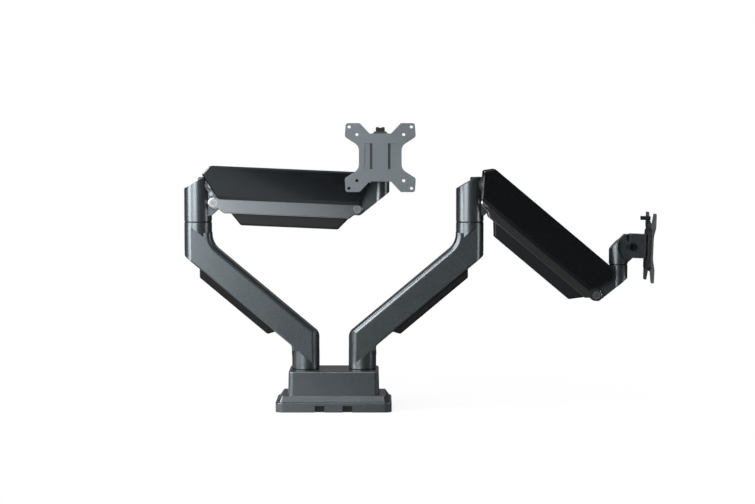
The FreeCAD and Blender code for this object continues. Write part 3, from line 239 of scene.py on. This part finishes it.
def white_world():
    """A studio: white to the camera, a pale room behind the object, dark flags all around."""
    world = bpy.data.worlds.new("white_studio")
    world.use_nodes = True
    world.node_tree.nodes.clear()
    seen, by_camera = seen_rays(world)
    direction = add_node(world, "ShaderNodeTexCoord").outputs["Generated"]
    split = add_node(world, "ShaderNodeSeparateXYZ", Vector=direction)
    depth = ramp(world, split.outputs["Y"], 0.0, 1.0, 0.72, 0.92)
    height = ramp(world, split.outputs["Z"], 0.0, WHITE_BEHIND, 0.2, 0.5)
    behind = add_node(world, "ShaderNodeMath", {"operation": "MULTIPLY_ADD"}, i0=depth,
                      i1=height, i2=DARK_STUDIO).outputs[0]
    shown = add_node(world, "ShaderNodeMath", {"operation": "MAXIMUM"}, i0=behind, i1=by_camera)
    fill = add_node(world, "ShaderNodeBackground", Color=(1, 1, 1, 1), Strength=DIFFUSE_FILL)
    white = add_node(world, "ShaderNodeBackground", Color=(1, 1, 1, 1), Strength=shown.outputs[0])
    mixed = add_node(world, "ShaderNodeMixShader", i0=seen, i1=fill.outputs[0],
                     i2=white.outputs[0])
    output = add_node(world, "ShaderNodeOutputWorld")
    world.node_tree.links.new(mixed.outputs[0], output.inputs["Surface"])
    bpy.context.scene.world = world


def pale_floor():
    """A white table top that keeps the shadow near the base and fades into the white room.
    To mirror rays it glows near the base as a painted pool of light, bright on the base's left and
    dim on its right.
    """
    mesh = bpy.data.meshes.new("studio_floor")
    corners = [(x * FLOOR_HALF, y * FLOOR_HALF, 0) for x, y in ((-1, -1), (1, -1), (1, 1), (-1, 1))]
    mesh.from_pydata(corners, [], [(0, 1, 2, 3)])
    floor = bpy.data.objects.new("studio_floor", mesh)
    bpy.context.collection.objects.link(floor)
    material, output = new_material("matt_white_floor")
    seen, by_camera = seen_rays(material)
    radius = add_node(material, "ShaderNodeVectorMath", {"operation": "LENGTH"},
                      Vector=millimetres(material)).outputs["Value"]
    share = add_node(material, "ShaderNodeMath", {"operation": "MULTIPLY"}, i0=seen,
                     i1=ramp(material, radius, 0.9, 1.0, 0.15, 0.7)).outputs[0]
    across = add_node(material, "ShaderNodeSeparateXYZ", Vector=millimetres(material)).outputs["X"]
    # painted reflection: near the base the floor glows to mirror rays, bright on its left and dim on
    # its right, fading to 0.05 farther out
    table = ramp(material, radius, ramp(material, across, 0.9, 0.02, -0.14, 0.1), 0.05, 0.3, 0.6)
    white_and_painted_pool = add_node(material, "ShaderNodeMath", {"operation": "MAXIMUM"}, i0=table, i1=by_camera)
    matt = add_node(material, "ShaderNodeBsdfDiffuse", Color=linear("#f4f4f4"))
    bright = add_node(material, "ShaderNodeEmission", Color=(1, 1, 1, 1),
                      Strength=white_and_painted_pool.outputs[0])
    mixed = add_node(material, "ShaderNodeMixShader", i0=share, i1=matt.outputs[0],
                     i2=bright.outputs[0])
    surface(material, output, mixed)
    mesh.materials.append(material)


def softbox(name, place, aim, width, height, brightness, roll=0.0, tint="#ffffff"):
    """A rectangular lamp that looks at a point; brightness is how bright its face looks."""
    lamp = bpy.data.lights.new(name, "AREA")
    lamp.shape = "RECTANGLE"
    lamp.size = width
    lamp.size_y = height
    lamp.color = linear(tint)[:3]
    lamp.energy = brightness * math.pi * width * height
    item = bpy.data.objects.new(name, lamp)
    item.location = place
    turn = (Vector(aim) - Vector(place)).to_track_quat("-Z", "Y").to_matrix()
    item.rotation_euler = (turn @ Matrix.Rotation(math.radians(roll), 3, "Z")).to_euler()
    bpy.context.collection.objects.link(item)


def camera():
    """A long lens a little above the elbows, square to the row of the arms."""
    distance = 3.2
    pitch = math.radians(3.4)
    target = Vector((0.071, 0.0, 0.257))
    lens = bpy.data.cameras.new("camera")
    lens.sensor_width = SENSOR_WIDTH
    lens.lens = LENS
    item = bpy.data.objects.new("camera", lens)
    item.location = target + Vector((0, -distance * math.cos(pitch), distance * math.sin(pitch)))
    item.rotation_euler = (math.radians(90) - pitch, 0, 0)
    bpy.context.collection.objects.link(item)
    bpy.context.scene.camera = item


# name, place, aim, width, height, brightness, and for a turned or tinted one roll and tint
SOFTBOXES = (
    ("key_left", (-1.75, -0.6, 0.8), (0, 0, 0.27), 0.95, 1.5, 9.5),
    ("key_front_left", (-1.18, -1.78, 0.8), (0, 0, 0.27), 1.1, 1.2, 7.5),
    ("strip_front", (-0.86, -2.5, 0.95), (0, 0, 0.27), 0.5, 1.2, 9.0),
    ("rim_right", (1.75, -0.42, 0.55), (0.1, 0, 0.25), 0.17, 1.3, 9.0),
    ("front_card", (-1.05, -3.6, 0.11), (-1.05, 0, 0.11), 2.0, 0.9, 0.9, -23.0, "#e4f4ff"),
    ("low_card", (-0.8, -0.95, 0.12), (-0.8, 0, 0.12), 1.0, 0.24, 2.6),
    ("top_front", (-0.85, -2.3, 1.25), (-0.3, 0, 0.3), 1.9, 0.8, 1.25),
    ("edge_front", (-0.4, -1.35, 1.75), (0, 0, 0.2), 1.4, 0.22, 14.0),
    ("upper_left", (-1.35, -0.25, 1.45), (0.1, 0, 0.2), 0.7, 0.5, 11.0),
    ("back_fill", (0.4, 2.6, 1.2), (0.1, 0, 0.25), 2.4, 1.2, 0.3),
    ("top", (0.1, -0.1, 1.9), (0.1, 0, 0.2), 1.6, 0.6, 0.5),
)

white_world()
pale_floor()
camera()
for lamp_row in SOFTBOXES:
    softbox(*lamp_row)
bpy.context.scene.view_settings.view_transform = "Standard"
